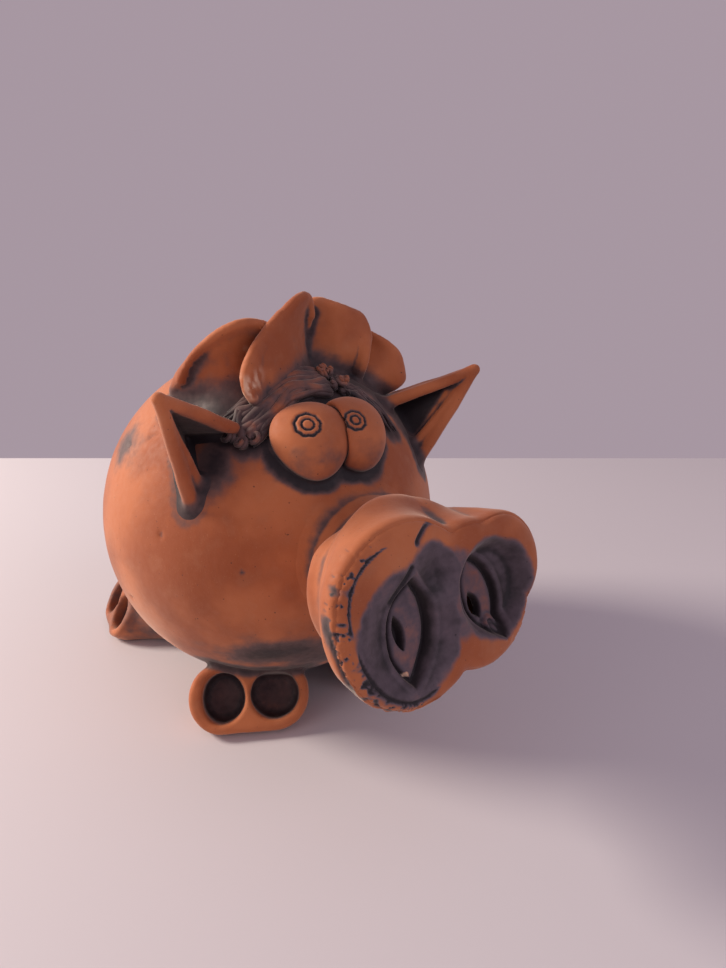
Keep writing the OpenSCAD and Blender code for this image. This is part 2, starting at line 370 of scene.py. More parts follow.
def body_field(p):
    q = p - CENTRE
    shell = np.maximum(skin_field(p), BALL_R - WALL - length(q))
    run = SLOT_LEN / 2 - SLOT_W / 2
    along = q[:, 1] - SLOT_Y
    slot = np.hypot(q[:, 0], along - np.clip(along, -run, run)) - SLOT_W / 2
    slot = np.where(q[:, 2] > 0, slot, 9.0)
    hole = np.where(q[:, 2] < 0, np.hypot(q[:, 0], q[:, 1]) - BELLY_HOLE_R - 0.1, 9.0)
    shell = smax(shell, BELLY_Z - p[:, 2], 1.0)
    return smax(smax(shell, -slot, 1.6), -hole, 0.6)


# Loose pits are scattered over the ball, two more sit one above the other halfway from
# the right eye to the snout, and a short scratch lies behind the right ear.
LOOSE_PITS = 10
PIT_STEP = 3.6                # from one pit of the pair to the other
SCRATCH_BEHIND = 15.0         # degrees from the ear's back corner
SCRATCH_LEN = 4.0


def skin_marks(p):
    """How deep a pit or the scratch goes at places on the ball, from 0 to 1."""
    rng = np.random.default_rng(29)
    pits = []
    for _ in range(LOOSE_PITS):
        az, el = rng.uniform(-180, 180), rng.uniform(-25, 50)
        pits.append((on_ball(az, el), rng.uniform(0.8, 1.2)))
    eye = on_ball(EYES["right_eye"][0] - EYE_TURN, EYE_EL) - CENTRE
    snout = on_ball(0, 0) - CENTRE
    middle = CENTRE + BALL_R * unit(eye + snout)
    for side in (-0.5, 0.5):
        pits.append((middle + np.array([0, 0, side * PIT_STEP]), 1.2))
    marks = [hump(length(p - at), radius) for at, radius in pits]
    back_az, back_el = EARS["right_ear"][-1]
    start = on_ball(back_az - SCRATCH_BEHIND, back_el - SCRATCH_LEN)
    end = on_ball(back_az - SCRATCH_BEHIND + SCRATCH_LEN, back_el - SCRATCH_LEN / 2)
    marks.append(hump(capsule(p, start, end, 0, 0), 0.7))
    return np.maximum.reduce(marks)


def shape_body():
    verts, faces = sculpted("body_shell", body_field, 2.0, 1.05)
    outer = ball_field(verts) > -1.5
    dents = 0.10 * fbm(verts, 9, 3, 5) + 0.035 * noise(verts, 1.9, 9)
    PIECES["body_shell"] = (pushed(verts, faces, (dents - 0.7 * skin_marks(verts)) * outer), faces)


# ---------------- snout
# The rim runs round three overlapping round lobes, each placed sideways and up
# from the middle of the face, with its radius.
RIM_LOBES = ((-12, -0.5, 24.6), (10.5, -2, 20.5), (22, 4, 14.5))
# Stations along the trumpet: distance in front of the ball's centre, how much of
# the rim's outline shows, size and centre height.
STATIONS = np.array([
    [46, 0, 1.25, 64], [56, 0, 1.05, 64], [62, 0, 1, 64.5], [68, 0.1, 1.02, 65], [74, 0.35, 1, 65.5],
    [80, 0.65, 0.99, 66], [86, 0.85, 0.99, 66], [91, 0.95, 1, 66], [95, 1, 1, 66.5]])
NECK_R = 18.0
HORN_WALL = 4.5
FACE_LEAN = 16.0
FACE_REACH = 97.0
FACE_Z = 66.5
SNOUT_X = -2.0
# Folds along the worn band: place across the rim, first and last angle round it.
RIM_FOLDS = ((0.5, 150, 226), (-4.0, 128, 168), (-4.4, 182, 238))
FOLD_FADE = 14


def lobe_reach(angle, lobe):
    """How far out a ray from the middle of the face leaves a lobe."""
    x, y, radius = lobe
    a = np.radians(angle)
    along, off = x * np.cos(a) + y * np.sin(a), x * np.sin(a) - y * np.cos(a)
    return np.where(np.abs(off) < radius, along + np.sqrt(np.maximum(radius ** 2 - off ** 2, 0)), 0)


def rim_radius(angle):
    """The outline round the lobes, with its corners rounded."""
    spread = 3.0
    return sum(np.maximum.reduce([lobe_reach(angle + k * spread, lobe) for lobe in RIM_LOBES])
               for k in (-1, 0, 1)) / 3


def horn_place(p):
    """Distance along the trumpet, angle round it, radius from its axis and its outer radius there."""
    d = CENTRE[1] - p[:, 1]
    for _ in range(4):
        lean = np.radians(FACE_LEAN) * step01(d, 60, 92)
        middle = np.interp(d, STATIONS[:, 0], STATIONS[:, 3])
        v = (p[:, 2] - middle) / np.cos(lean)
        d = CENTRE[1] - p[:, 1] + v * np.sin(lean)
    shown = np.interp(d, STATIONS[:, 0], STATIONS[:, 1])
    size = np.interp(d, STATIONS[:, 0], STATIONS[:, 2])
    u = p[:, 0] - SNOUT_X * shown
    angle = np.degrees(np.arctan2(v, u)) % 360
    outer = lerp(NECK_R, rim_radius(angle), shown) * size
    right = between(angle, 128, 160, 205, 228)
    outer = outer + right * (1.0 * hump(d - 90, 4.5) + 7.0 * hump(d - 70, 6))
    top = between(angle, 30, 80, 105, 165)
    outer = outer + top * 4.0 * hump(d - 77, 9)
    return d, angle, np.hypot(u, v), outer


def horn_part(p):
    _, _, r, outer = horn_place(p)
    x, y, out = face_place(p)
    wall = smax(r - outer - 0.3, outer - HORN_WALL - 1.0 - r, 1.0)
    front = out - face_height(x, y, outer - r) + 1.3 * step01(outer - r, 0.8, 2.2)
    return 0.85 * smax(wall, front, 1.6)


def rim_marks(p):
    """Depth and darkness of the cracks, pores and folds in the worn band on the rim's right half."""
    d, angle, r, outer = horn_place(p)
    band = between(angle, 128, 146, 232, 246) * step01(d, FACE_REACH - 7, FACE_REACH - 2)
    edge = outer - r + 0.8 * np.sin(angle / 11)
    band = band * step01(edge, -0.6, 0.4) * (1 - step01(edge, 3.4, 5.0))
    around = np.stack([angle * 0.6, r * 0.35, 0 * r], 1)
    cracks = np.clip(1 - np.abs(noise(around, 1.5, 31)) * 3.2, 0, 1) * step01(noise(p, 5, 32), -0.5, 0.2)
    pores = step01(noise(p, 1.1, 37), 0.45, 0.75)
    folds = 0
    for shift, lo, hi in RIM_FOLDS:
        run = between(angle, lo, lo + FOLD_FADE, hi, hi + FOLD_FADE)
        folds = folds + hump(edge + shift, 0.42) * run
    folds = folds * step01(d, FACE_REACH - 9, FACE_REACH - 4)
    lumps = band * (0.5 + 0.5 * noise(p, 2.6, 33))
    depth = 0.55 * band * (cracks + 0.7 * pores) + 0.75 * folds - 0.35 * lumps
    return depth, np.clip(band * (0.9 * cracks + 0.7 * pores) + 0.9 * folds, 0, 1)


def shape_horn():
    verts, faces = sculpted("snout_horn", luted(horn_part, 2.4, 1.0), 5, 0.9)
    depth, marks = rim_marks(verts)
    PIECES["snout_horn"] = (pushed(verts, faces, 0.14 * fbm(verts, 7, 3, 12) - depth), faces)
    return marks


def face_place(p):
    """Sideways, up and outward distances from the middle of the snout's face."""
    lean = np.radians(FACE_LEAN)
    q = p - np.array([SNOUT_X, CENTRE[1] - FACE_REACH, FACE_Z])
    up = q[:, 1] * np.sin(lean) + q[:, 2] * np.cos(lean)
    out = -q[:, 1] * np.cos(lean) + q[:, 2] * np.sin(lean)
    return q[:, 0], up, out


def off_line(x, y, ax, ay, bx, by):
    """Distance of places from a straight line between two points."""
    t = np.clip(((x - ax) * (bx - ax) + (y - ay) * (by - ay)) / ((bx - ax) ** 2 + (by - ay) ** 2), 0, 1)
    return np.hypot(x - ax - t * (bx - ax), y - ay - t * (by - ay))


def inside_lens(x, y, lens):
    """How far a place lies inside a lens, which two equal arcs bound; negative outside."""
    cx, cy, half_long, half_wide, tilt = lens
    t = math.radians(tilt)
    wide = (x - cx) * math.cos(t) + (y - cy) * math.sin(t)
    high = (y - cy) * math.cos(t) - (x - cx) * math.sin(t)
    radius = (half_long ** 2 + half_wide ** 2) / (2 * half_wide)
    return radius - np.hypot(np.abs(wide) + radius - half_wide, high)


def inside_dish(x, y, dish):
    """How far a place lies inside a dish, which is pressed with one or more discs."""
    best = radius_in(x, y, dish[0])
    for disc in dish[1:]:
        best = smax(best, radius_in(x, y, disc), 3.0)
    return best


def radius_in(x, y, disc):
    """How far a place lies inside a disc."""
    return disc[2] - np.hypot(x - disc[0], y - disc[1])


# The snout's face seen from the front, in millimetres from its middle. Discs are
# (sideways, up, radius), lenses (sideways, up, half length, half width, tilt).
RIGHT_NOSTRIL = {"dish": ((-14.5, -5, 17), (-4, 7, 10)), "almond": (-13, -4.5, 14, 7.5, -10),
                 "slit": (-15.5, -4.5, 4.5, 1.5, 8), "depth": 3.0, "wall": 10.0, "floor": (0.35, 1.3)}
LEFT_NOSTRIL = {"dish": ((17, -1, 14.5),), "almond": (15, -3.5, 13, 6.5, 12),
                "slit": (13.5, -6, 4, 1.7, 20), "depth": 5.5, "wall": 5.0, "floor": (0.6, 0.5)}
LID_LINE = (-11, 12, -18, 5)
FOLD_DISC = (0, 12, 10)      # the fold over the face is an arc of this circle
BRIDGE_DISC = (2, 1, 13)     # thin patina runs over the ridge between the dishes
CURL_AT = (17, -13)
# a small pale painted highlight sits where a white glint shows on the face
GLINT_AT = (-16, -15)


def off_fold(x, y):
    """Distance from the short fold above the ridge."""
    bearing = np.degrees(np.arctan2(y - FOLD_DISC[1], x - FOLD_DISC[0]))
    beyond = np.maximum(np.abs(bearing - 100) - 42, 0) / 8
    return np.hypot(radius_in(x, y, FOLD_DISC), beyond)


def face_height(x, y, edge):
    """Height of the snout's face over its plane; edge is the distance from the rim's outline."""
    height = 0.3 + 0.35 * noise(np.stack([x, y, 0 * x], 1), 9, 25)
    for nostril in (RIGHT_NOSTRIL, LEFT_NOSTRIL):
        height = height - nostril["depth"] * step01(inside_dish(x, y, nostril["dish"]), -0.4, nostril["wall"])
        own = inside_lens(x, y, nostril["almond"])
        lid = hump(own + 0.9, 0.8)
        left, right = nostril["floor"]
        side = lerp(left, right, step01(x - nostril["almond"][0], -4, 4))
        trench = hump(own - 0.9, 0.55 + 0.4 * side) * (0.9 + 0.8 * side)
        height = height + 0.35 * lid - 1.3 * step01(own, -0.2, 0.7) - trench
        height = height - 3.4 * step01(inside_lens(x, y, nostril["slit"]), -0.5, 0.6)
    height = height - 0.8 * hump(off_line(x, y, *LID_LINE), 0.6)
    fold = off_fold(x, y)
    height = height - 1.3 * hump(fold, 0.9)
    curl = np.hypot(x - CURL_AT[0], (y - CURL_AT[1]) / 1.3)
    height = height + 1.3 * hump(curl - 1.9, 0.6)
    roll = np.clip(1 - edge / 4.5, 0, 1.3)
    return height * step01(edge, 0.3, 2.4) - 1.7 * roll ** 2


def face_field(p):
    x, y, out = face_place(p)
    _, _, r, outer = horn_place(p)
    low = smax(r - (outer - 1.0), -out - 9.5, 1.0)
    return 0.8 * smax(low, out - face_height(x, y, outer - r), 0.5)


def shape_face():
    verts, faces = sculpted("snout_face", face_field, 4, 0.5, settle=5)
    depth, marks = rim_marks(verts)
    PIECES["snout_face"] = (pushed(verts, faces, 0.10 * fbm(verts, 4, 3, 21) - depth), faces)
    return marks


# ---------------- eyes
EYE_TURN = 5.0
EYE_EL = 40.0
EYES = {   # azimuth from the middle, radius, middle of the pupil across and up, ring radii
    "right_eye": (-8.0, 11.9, (-2.6, -2.2), (1.8, 3.7)),
    "left_eye": (9.5, 11.8, (-2.6, -1.4), (1.5, 3.2)),
}
EYE_HALF = 8.0


def eye_axes(name):
    az = EYES[name][0] - EYE_TURN
    out = direction(az, EYE_EL)
    side = np.array([math.cos(math.radians(az)), math.sin(math.radians(az)), 0])
    return on_ball(az, EYE_EL, 1.5), side, np.cross(out, side) * -1, out


def eye_place(name, p):
    middle, side, up, out = eye_axes(name)
    q = p - middle
    return q @ side, q @ up, q @ out


def eye_egg(name, p):
    """A flattened egg, broadest below its middle."""
    across, up, out = eye_place(name, p)
    radius = EYES[name][1] * (1 - 0.016 * up)
    egg = np.sqrt((across / radius) ** 2 + (up / EYES[name][1] / 1.03) ** 2 + (out / EYE_HALF) ** 2)
    return (egg - 1) * 8.6


def eye_part(name):
    """The right eye is a whole egg; the left one was pressed in beside it."""
    def field(p):
        if name == "right_eye":
            return eye_egg(name, p)
        return smax(eye_egg(name, p), 0.3 - eye_egg("right_eye", p), 1.6)
    return field


def shape_eye(name):
    verts, faces = sculpted(name, luted(eye_part(name), 0.8), 3, 0.5)
    across, up, out = eye_place(name, verts)
    pupil, rings = EYES[name][2:]
    r = np.hypot(across - pupil[0], up - pupil[1])
    angle = np.arctan2(up - pupil[1], across - pupil[0])
    groove = hump(r - rings[0], 0.34)
    groove += hump(r - rings[1] - 0.12 * np.cos(9 * angle), 0.42)
    groove *= out > 3
    PIECES[name] = (pushed(verts, faces, -0.75 * groove + 0.10 * fbm(verts, 6, 2, 3)), faces)
    return np.clip(groove * 1.2 + 0.30 * step01(up, 0, 8), 0, 1)


# ---------------- ears
EARS = {   # tip from the ball's centre, then low, high and back corners on the skull
    "right_ear": ((-56, -45, 57), (-55, 22), (-41, 46), (-68, 43)),
    "left_ear": ((56, -45, 52), (45, 22), (47, 45), (66, 43)),
}


def ear_corners(name):
    tip, *skull = EARS[name]
    return [CENTRE + np.array(tip, float)] + [on_ball(az, el, -1.0) for az, el in skull]


def ear_part(name):
    tip, low, high, back = ear_corners(name)

    def field(p):
        q = p + 0.5 * np.stack([noise(p, 14, 41), noise(p, 14, 42), noise(p, 14, 43)], 1)
        outer = triangle(q, tip, low, back) - 1.5
        upper = triangle(q, tip, high, back) - 1.4
        band = triangle(q, tip, low, lerp(low, high, 0.22)) - 1.1
        rims = np.minimum(capsule(q, tip, low, 1.6, 2.2), capsule(q, tip, high, 1.6, 2.0))
        return smin(smin(outer, upper, 1.2), smin(rims, band, 0.8), 0.8)
    return field


def shape_ear(name):
    verts, faces = sculpted(name, luted(ear_part(name), 3.0), 4, 0.7)
    PIECES[name] = (pushed(verts, faces, 0.16 * fbm(verts, 5, 3, 17)), faces)


# ---------------- frill
# Notches along the frill's foot: sideways, forward, height of the edge over the
# ball's centre, and how much the lobe after it bulges forward and rises.
FRILL_NOTCHES = (
    (-34, 8, 55, 7, 7),
    (-14, 23, 69, 2, 3),
    (6, 17, 75, 2, 0),
    (24, 16, 69, 3, 0),
    (33, 20, 53, 0, 0),
)
# The sheets that overlap along the frill: first and last lobe along the foot, then at
# the two ends how far the sheet stands forward of the foot, its extra height, and the
# lean of its edge and the bulge of its middle, each sideways and forward.
FRILL_SHEETS = (
    {"lobes": (0, 1.1), "ahead": (0, 2), "taller": (4, -2),
     "lean": ((-1, 3), (6, -5)), "bulge": ((-1, -3), (3, -7))},
    {"lobes": (0.8, 2), "ahead": (6, 0), "taller": (4, 1),
     "lean": ((9, -5), (1, 2)), "bulge": ((-9, 2), (0, -3))},
    {"lobes": (1.97, 3.1), "ahead": (0, 1), "taller": (1, 0),
     "lean": ((2, -1), (3, 3)), "bulge": ((1, -2), (-2, 4))},
    {"lobes": (2.75, 4), "ahead": (-2, 0), "taller": (-5, 0),
     "lean": ((4, 0), (10, 1)), "bulge": ((1, 0), (3, 1))},
)


def frill_at(s):
    """Sideways place, forward place and edge height of the frill, s lobes along it."""
    rows = np.array(FRILL_NOTCHES, float)
    i = np.clip(np.floor(s).astype(int), 0, len(rows) - 2)
    t = s - i
    swell = np.sin(np.pi * t)
    a, b = rows[i], rows[i + 1]
    return (lerp(a[:, 0], b[:, 0], t), lerp(a[:, 1], b[:, 1], t) + a[:, 3] * swell,
            lerp(a[:, 2], b[:, 2], t) + a[:, 4] * swell)


def strip_points(sheet, per_lobe=56, rungs=26):
    """Points all over a sheet of clay that stands on the ball, and how high up it each is."""
    first, last = sheet["lobes"]
    s = np.linspace(first, last, int((last - first) * per_lobe) + 2)
    x, forward, edge = [v[:, None] for v in frill_at(s)]
    t = ((s - first) / (last - first))[:, None]
    forward = forward + lerp(*sheet["ahead"], t)
    up = np.linspace(-0.15, 1, rungs)[None, :]
    foot = np.sqrt(np.maximum(BALL_R ** 2 - x ** 2 - forward ** 2, 0))
    tall = edge + lerp(*sheet["taller"], t) - 5 * np.abs(2 * t - 1) ** 8 - foot
    lean, bulge = [lerp(*np.array(sheet[k], float), t) for k in ("lean", "bulge")]
    swell = 4 * up * (1 - up)
    across = x + lean[:, :1] * up + bulge[:, :1] * swell
    ahead = forward + lean[:, 1:] * up + bulge[:, 1:] * swell
    points = np.stack([across, -ahead, foot + tall * up], -1) + CENTRE
    return points.reshape(-1, 3), np.broadcast_to(up, across.shape).ravel()


def shape_frill():
    strips = [strip_points(sheet) for sheet in FRILL_SHEETS]
    points = np.concatenate([s[0] for s in strips])
    up = np.concatenate([s[1] for s in strips])
    tree = cloud_tree(points)
    half = 2.1 - 0.5 * step01(up, 0.2, 0.8) + 0.2 * step01(up, 0.9, 1.0)

    def part(p):
        distance, nearest = cloud_distance(tree, p)
        return distance - half[nearest]

    lo, hi = points.min(0) - 4, points.max(0) + 4
    verts, faces = surface(luted(part, 2.2), lo, hi, 0.8 * FINE, settle=0)
    verts = neighbour_mean(verts, faces, 2, 0.5)
    ripples = 0.55 * noise(verts * [1, 1, 0.45], 8, 54) + 0.25 * fbm(verts, 6, 3, 51)
    torn = 0.7 * torn_corner(verts) * np.abs(fbm(verts, 1.8, 3, 52))
    PIECES["bonnet_frill"] = (pushed(verts, faces, ripples - torn), faces)


def torn_corner(p):
    """1 at the torn edge of the frill's second sheet, 0 away from it."""
    brow = FRILL_SHEETS[1]
    points, up = strip_points({**brow, "lobes": (brow["lobes"][0], brow["lobes"][0] + 0.05)})
    edge = points[(up > 0.3) & (up < 0.65)]
    return 1 - step01(capsule(p, edge[0], edge[-1], 0, 0), 2.0, 5.0)


# ---------------- hair
def strand(path, radius, wave, seed, lift, turns=2.5, rings=34):
    """One clay string along a path of [azimuth, elevation] places, pressed on the ball."""
    rng = np.random.default_rng(seed)
    t = np.linspace(0, 1, rings)
    place = spline(path, t * (len(path) - 1))
    phase = rng.uniform(0, 2 * np.pi, 2)
    swell = np.sin(np.pi * np.clip(t * 1.1, 0, 1)) ** 0.5
    place[:, 0] += wave * 1.4 * np.sin(2 * np.pi * turns * t + phase[0]) * swell
    place[:, 1] += wave * np.sin(2 * np.pi * turns * 0.8 * t + phase[1]) * swell
    height = lift * (0.35 + 0.65 * np.sin(np.pi * np.clip(t * 0.9 + 0.1, 0, 1)))
    radii = radius * np.clip(np.minimum(t * 9 + 0.3, (1 - t) * 5 + 0.25), 0, 1)
    radii = radii * (1 + 0.12 * np.sin(2 * np.pi * 3 * t + phase[1]))
    return tube(on_ball(place[:, 0], place[:, 1], height), radii, sides=9, flat=0.85)


def fan(starts, middles, ends, count, radius, seed, layers=2, lift=1.1):
    """Strands side by side between a first and a last path, in layers."""
    rng = np.random.default_rng(seed)
    parts = []
    for layer in range(layers):
        for i in range(count):
            s = (i + 0.5 * (layer % 2) + rng.uniform(-0.2, 0.2)) / max(count - 1, 1)
            path = [lerp(np.array(ends_of[0], float), np.array(ends_of[1], float), s)
                    for ends_of in (starts, middles, ends)]
            path[2] = path[2] + rng.uniform([-3, -1.5], [3, 1.5])
            parts.append(strand(path, radius * rng.uniform(0.75, 1.2), rng.uniform(0.5, 1.2),
                                int(rng.integers(1 << 30)), 0.3 + lift * layer + rng.uniform(0, 0.5)))
    return parts


def curl(az, el, radius, thickness, tilt, seed, height=1.6, turns=1.3):
    """A little coiled curl of clay string."""
    rng = np.random.default_rng(seed)
    out = direction(az, el)
    side = unit(np.cross(out, [0, 0, 1.0]))
    up = np.cross(side, out)
    t = np.linspace(0, 1, 26)
    a = 2 * np.pi * turns * t + rng.uniform(0, 6)
    spiral = radius * (1 - 0.45 * t)
    axis = unit(out + tilt * side + tilt * 0.5 * up)
    e1 = unit(np.cross(axis, up))
    e2 = np.cross(axis, e1)
    points = (on_ball(az, el, height) + spiral[:, None] * (np.cos(a)[:, None] * e1 + np.sin(a)[:, None] * e2)
              + (1.4 * t)[:, None] * axis)
    radii = thickness * np.clip(np.minimum(t * 8 + 0.4, (1 - t) * 8 + 0.4), 0, 1)
    return tube(points, radii, sides=9, up=np.broadcast_to(axis, points.shape))


KNOT_CURLS = 20


def shape_hair():
    sweep = fan(([13, 65], [9, 55.5]), ([-16, 64.5], [-16, 54.5]), ([-50, 50], [-35, 41]), 11, 1.3, 61, 3)
    sweep += fan(([-30, 56], [-26, 50]), ([-40, 52], [-36, 46]), ([-46, 43], [-36, 40.5]),
                 5, 1.15, 67, 2, 1.3)
    sweep += [curl(az, el, 1.9, 0.75, 0.4, seed, 1.2) for seed, (az, el) in enumerate(
        [(-44, 42), (-39, 40.5), (-34, 42)], 70)]
    PIECES["right_fringe"] = joined(sweep)
    right = fan(([18, 62], [15, 56]), ([25, 57], [20, 53]), ([33, 41], [27, 44]), 5, 1.0, 81, 2)
    right += fan(([22, 58], [20, 55]), ([29, 52], [26, 51]), ([33, 38], [30, 37]), 3, 0.7, 85, 2)
    PIECES["left_fringe"] = joined(right)
    rng = np.random.default_rng(90)
    knot = [curl(14 + rng.uniform(-7, 8), 60 + rng.uniform(-3.4, 4.0), rng.uniform(0.9, 1.7),
                 rng.uniform(0.55, 0.8), rng.uniform(-1.5, 1.5), 100 + i, rng.uniform(0.8, 3.2))
            for i in range(KNOT_CURLS)]
    t = np.linspace(-1, 1, 9)
    bead = on_ball(15, 64.5, 3.4)
    knot.append(tube(bead + t[:, None] * [0, 0, 1.3], 1.3 * np.sqrt(1 - 0.98 * t ** 2), sides=12,
                     up=np.broadcast_to([1.0, 0, 0], (9, 3))))
    PIECES["forelock_knot"] = joined(knot)


# ---------------- feet
TOE_R = 11.5
TOE_GAP = 16.6
HOOF_TILT = 33.0
ANKLE_R = 9.5
HOOVES = {   # middle of the mouth and ankle from the ball's axis, heading, size
    "front_right_hoof": ((-30, -33), (-20, -18), -30, 1.0),
    "front_left_hoof": ((30, -33), (20, -18), 30, 1.0),
    "rear_right_hoof": ((-42, 58), (-23, 31), -104, 0.86),
    "rear_left_hoof": ((42, 58), (23, 31), 104, 0.86),
}
HOLE_DEPTH = 9.5
# Holes poked in a hoof's toes: half width, half height and offset along the pair,
# for the toe on its pig's-right side and the other.
TOE_HOLES = ((7.0, 8.2, -0.1), (8.0, 7.8, 0.2))


def hoof_axes(name):
    at, ankle, heading, size = HOOVES[name]
    h, lean = math.radians(heading), math.radians(HOOF_TILT)
    flat = np.array([math.sin(h), -math.cos(h), 0])
    mouth = flat * math.cos(lean) + np.array([0, 0, math.sin(lean)])
    side = np.array([math.cos(h), math.sin(h), 0])
    middle = np.array([at[0], CENTRE[1] + at[1], TOE_R * size + 1])
    ankle = np.array([ankle[0], CENTRE[1] + ankle[1], ANKLE_R + 2])
    return middle, side, mouth, ankle, size


def toe_holes(name, q):
    """How far places given along a hoof's pair of toes, up its mouth and out of it lie from its holes."""
    size = hoof_axes(name)[-1]
    holes = []
    for s, (wide, high, shift) in zip((-1, 1), TOE_HOLES):
        x = (q[0] - s * TOE_GAP / 2 * size - shift * size) / (wide * size)
        y = q[1] / (high * size)
        holes.append((np.hypot(x, y) - 1) * min(wide, high) * size)
    return holes


def hoof_place(name, p):
    middle, side, mouth, _, _ = hoof_axes(name)
    q = p - middle
    return q @ side, q @ np.cross(mouth, side) * -1, q @ mouth


def hoof_part(name):
    middle, side, mouth, ankle, size = hoof_axes(name)
    radius = TOE_R * size

    def field(p):
        q = p + 0.35 * np.stack([noise(p, 11, 44), noise(p, 11, 45), 0 * p[:, 0]], 1)
        along, up, out = hoof_place(name, q)
        oval = np.hypot(np.maximum(np.abs(along) - TOE_GAP / 2 * size, 0), up) - radius
        outer = smax(oval, -out - 11 * size, 8.0)
        for s in (-1, 1):
            heel = middle + s * side * TOE_GAP / 2 * size - mouth * 8 * size
            outer = smin(outer, capsule(q, heel, ankle, radius - 1.0, ANKLE_R), 4.0)
        front = out + 0.4 * noise(p, 8, 46)
        outer = smax(outer, front, 1.8)
        for hole in toe_holes(name, (along, up)):
            flare = 0.5 * np.exp(-np.clip(-out, 0, 99) / 1.2)
            outer = smax(outer, -smax(hole - flare, -out - HOLE_DEPTH * size, 3.0), 0.8)
        return smax(outer, 0.05 - p[:, 2], 1.2)
    return field


def shape_hoof(name):
    verts, faces = sculpted(name, luted(hoof_part(name), 2.0), 3, 0.8)
    dents = 0.18 * fbm(verts, 5, 3, 19) * step01(verts[:, 2], 0.5, 2)
    PIECES[name] = (pushed(verts, faces, dents), faces)


# ---------------- tail
TAIL_R = 3.8
CURL_R = 7.0
TAIL_TURNS = 1.35


def tail_curve(t):
    start = on_ball(180, 6, 1.0)
    a = 2 * np.pi * TAIL_TURNS * t
    return start + np.stack([CURL_R * np.sin(a), 1 + 5 * t, CURL_R * (1 - np.cos(a))], -1)


def shape_tail():
    t = np.linspace(0, 1, 60)
    points, radii = tail_curve(t), TAIL_R * (1 - 0.5 * t)

    def part(p):
        return np.minimum.reduce([length(p - c) - r for c, r in zip(points, radii)])

    lo, hi = node_box("curly_tail")
    verts, faces = surface(luted(part, 3.0), lo - [4, 3, 4], hi + 3, 0.6 * FINE)
    PIECES["curly_tail"] = (pushed(verts, faces, 0.12 * fbm(verts, 4, 3, 23)), faces)


# ---------------- bung
def shape_bung():
    """The rubber bung, turned from its profile: a dished flange with a finger ring, a ribbed plug."""
    lo, hi = node_box("belly_bung")
    flange_r = (hi[0] - lo[0]) / 2
    plug_r = BELLY_HOLE_R - 0.05
    top, bottom = hi[2], lo[2]
    dish, cup = 1.2, BELLY_Z + 1.2      # how deep the flange is dished, the floor inside the plug
    profile = [(6.0, bottom + dish), (8.6, bottom + 1.1), (9.5, bottom + 0.45), (10.2, bottom)]
    profile += [(flange_r - 1.2, bottom), (flange_r - 0.4, bottom + 0.25), (flange_r, bottom + 0.9)]
    profile += [(flange_r - 0.05, BELLY_Z - 0.5), (flange_r - 0.5, BELLY_Z - 0.05)]
    profile += [(plug_r + 0.4, BELLY_Z - 0.05)]
    ribs = 3
    rise = (top - BELLY_Z - 1.5) / ribs
    for i in range(ribs):
        base = BELLY_Z + i * rise
        profile += [(plug_r - 0.25, base + 0.15), (plug_r - 0.02, base + 0.35 * rise),
                    (plug_r - 0.02, base + 0.65 * rise), (plug_r - 0.25, base + 0.9 * rise)]
    profile += [(plug_r - 1.5, top - 0.1), (plug_r - 2.2, top), (plug_r - 3.3, top - 0.1)]
    profile += [(plug_r - 3.6, top - 0.7), (plug_r - 3.6, BELLY_Z + 1.6), (plug_r - 4.2, cup)]
    profile = np.array(profile)
    sides = 96
    angle = np.arange(sides) * 2 * np.pi / sides
    rings = np.stack([profile[:, None, 0] * np.cos(angle), profile[:, None, 0] * np.sin(angle),
                      np.repeat(profile[:, 1:2], sides, 1)], -1)
    rings[..., :2] += CENTRE[:2]
    n = len(profile)
    middles = [[CENTRE[0], CENTRE[1], bottom + dish], [CENTRE[0], CENTRE[1], cup]]
    verts = np.concatenate([rings.reshape(-1, 3), middles])
    faces = []
    for j in range(sides):
        k = (j + 1) % sides
        for low, high in itertools.pairwise(range(0, n * sides, sides)):
            faces.append([low + j, low + k, high + k, high + j])
        faces += [[n * sides, k, j], [n * sides + 1, (n - 1) * sides + j, (n - 1) * sides + k]]
    return verts, faces


# ---------------- materials
def node(tree, kind, inputs=None, **settings):
    made = tree.nodes.new("ShaderNode" + kind)
    for key, value in settings.items():
        setattr(made, key, value)
    for key, value in (inputs or {}).items():
        if isinstance(value, bpy.types.NodeSocket):
            tree.links.new(value, made.inputs[key])
        else:
            made.inputs[key].default_value = value
    return made


def math_node(tree, operation, a, b=0.0, c=0.0, clamp=False):
    return node(tree, "Math", {0: a, 1: b, 2: c}, operation=operation, use_clamp=clamp).outputs[0]


def spots(tree, place, size, detail=3.0, stretch=None):
    """Noise with bumps of a size in millimetres."""
    if stretch:
        place = node(tree, "Mapping", {"Vector": place, "Scale": stretch}).outputs[0]
    made = node(tree, "TexNoise", {"Vector": place, "Scale": 1 / (size * MM), "Detail": detail})
    return made.outputs["Fac"]


def ramp(tree, factor, lo, hi):
    return node(tree, "MapRange", {"Value": factor, "From Min": lo, "From Max": hi},
                interpolation_type="SMOOTHSTEP").outputs[0]


def mix(tree, factor, a, b):
    made = node(tree, "Mix", {"Factor": factor}, data_type="RGBA")
    for socket, value in ((made.inputs[6], a), (made.inputs[7], b)):
        if isinstance(value, bpy.types.NodeSocket):
            tree.links.new(value, socket)
        else:
            socket.default_value = (*value, 1)
    return made.outputs[2]


CLAY_LIGHT = (0.46, 0.140, 0.050)
CLAY_DEEP = (0.31, 0.076, 0.023)
CLAY_DUSTY = (0.50, 0.23, 0.12)
PATINA_AND_SHADE_THIN = (0.105, 0.058, 0.055)
PATINA_AND_SHADE_VIOLET = (0.105, 0.080, 0.105)
PATINA_AND_SHADE_BLACK = (0.014, 0.010, 0.014)
# pale clay colour for painted highlights
HIGHLIGHT_PAINT = (0.80, 0.56, 0.40)
RUBBER = (0.012, 0.012, 0.013)
RUBBER_DUST = (0.075, 0.060, 0.052)


def bare_material(name):
    """A material without any nodes yet, and its tree."""
    material = bpy.data.materials.new(name)
    material.use_nodes = True
    material.node_tree.nodes.clear()
    return material, material.node_tree


